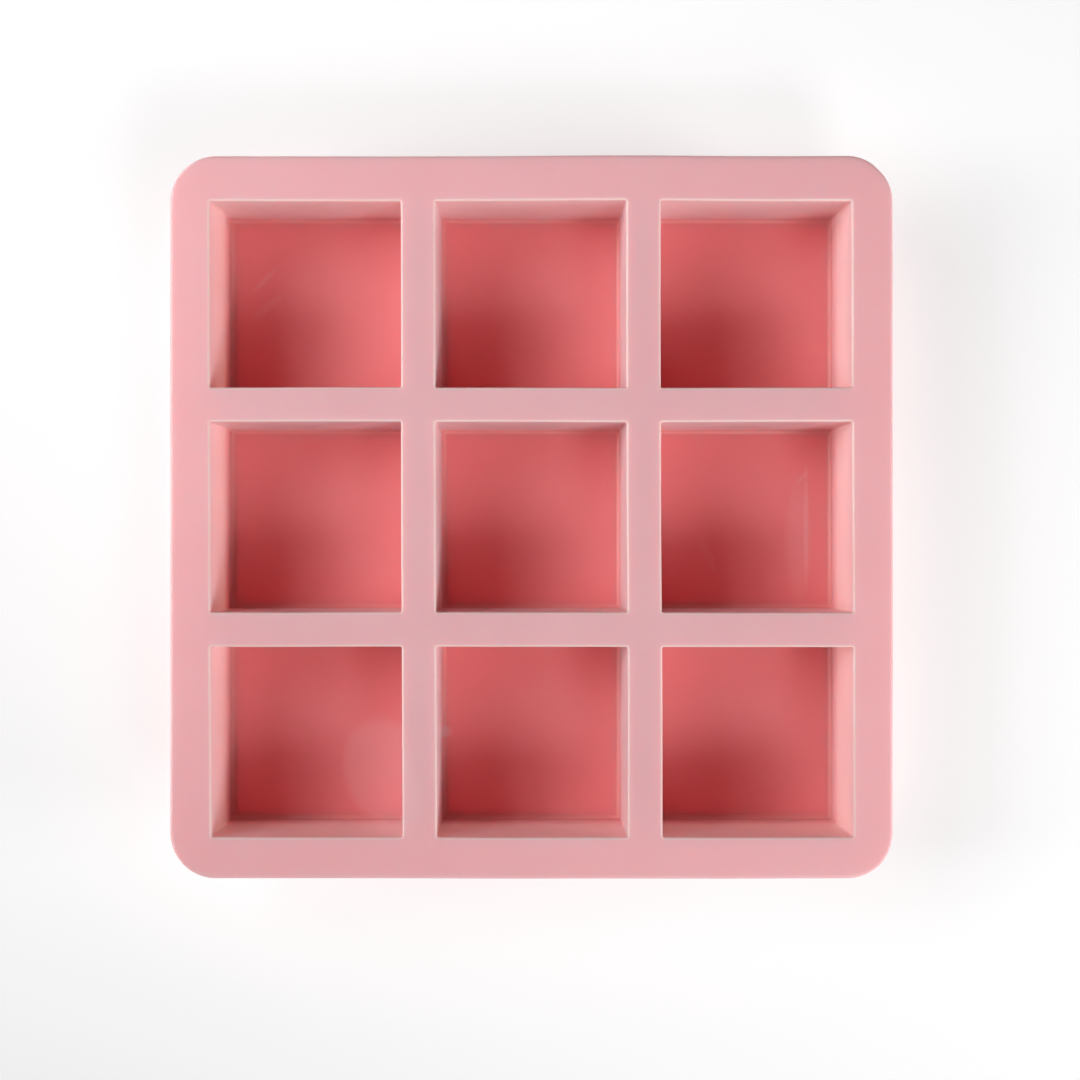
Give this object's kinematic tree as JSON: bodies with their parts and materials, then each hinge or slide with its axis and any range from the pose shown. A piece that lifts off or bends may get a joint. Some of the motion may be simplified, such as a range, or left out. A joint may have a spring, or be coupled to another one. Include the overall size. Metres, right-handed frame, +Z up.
{
  "type": "soap mould",
  "caption": "Square flexible silicone soap mould: rows of square cups hang from a flat deck with rounded corners and a narrow grip flange.",
  "frame": {"origin": "on the table, under the middle of the mould", "axes": "+Z up, out of the cups' mouths; +X to the right along a row of cups; +Y to the back"},
  "size_m": [0.19, 0.19, 0.0275],
  "materials": {
    "silicone": "satin"
  },
  "bodies": {
    "mould": {"rim_flange_main": "silicone", "deck_plate_main": "silicone", "cup_walls_back_left": "silicone", "cup_walls_back_centre": "silicone", "cup_walls_middle_left": "silicone", "cup_walls_middle_centre": "silicone", "cup_walls_front_left": "silicone", "cup_walls_front_centre": "silicone"},
    "right_column": {"rim_flange_fold": "silicone", "deck_plate_fold": "silicone", "cup_walls_back_right": "silicone", "cup_walls_middle_right": "silicone", "cup_walls_front_right": "silicone"},
    "floor_back_left": {"cup_floor_back_left": "silicone"},
    "floor_back_centre": {"cup_floor_back_centre": "silicone"},
    "floor_back_right": {"cup_floor_back_right": "silicone"},
    "floor_middle_left": {"cup_floor_middle_left": "silicone"},
    "floor_middle_centre": {"cup_floor_middle_centre": "silicone"},
    "floor_middle_right": {"cup_floor_middle_right": "silicone"},
    "floor_front_left": {"cup_floor_front_left": "silicone"},
    "floor_front_centre": {"cup_floor_front_centre": "silicone"},
    "floor_front_right": {"cup_floor_front_right": "silicone"}
  },
  "joints": [
    {"name": "fold_right_column", "type": "hinge", "parent": "mould", "child": "right_column", "pos_m": [0.0295, 0, 0.0275], "axis": [0, -1, 0], "range_deg": [0, 45], "stiffness_Nm_per_rad": 0.08},
    {"name": "push_back_left", "type": "slide", "parent": "mould", "child": "floor_back_left", "axis": [0, 0, 1], "range_m": [0, 0.008], "stiffness_N_per_m": 1000},
    {"name": "push_back_centre", "type": "slide", "parent": "mould", "child": "floor_back_centre", "axis": [0, 0, 1], "range_m": [0, 0.008], "stiffness_N_per_m": 1000},
    {"name": "push_back_right", "type": "slide", "parent": "right_column", "child": "floor_back_right", "axis": [0, 0, 1], "range_m": [0, 0.008], "stiffness_N_per_m": 1000},
    {"name": "push_middle_left", "type": "slide", "parent": "mould", "child": "floor_middle_left", "axis": [0, 0, 1], "range_m": [0, 0.008], "stiffness_N_per_m": 1000},
    {"name": "push_middle_centre", "type": "slide", "parent": "mould", "child": "floor_middle_centre", "axis": [0, 0, 1], "range_m": [0, 0.008], "stiffness_N_per_m": 1000},
    {"name": "push_middle_right", "type": "slide", "parent": "right_column", "child": "floor_middle_right", "axis": [0, 0, 1], "range_m": [0, 0.008], "stiffness_N_per_m": 1000},
    {"name": "push_front_left", "type": "slide", "parent": "mould", "child": "floor_front_left", "axis": [0, 0, 1], "range_m": [0, 0.008], "stiffness_N_per_m": 1000},
    {"name": "push_front_centre", "type": "slide", "parent": "mould", "child": "floor_front_centre", "axis": [0, 0, 1], "range_m": [0, 0.008], "stiffness_N_per_m": 1000},
    {"name": "push_front_right", "type": "slide", "parent": "right_column", "child": "floor_front_right", "axis": [0, 0, 1], "range_m": [0, 0.008], "stiffness_N_per_m": 1000}
  ]
}
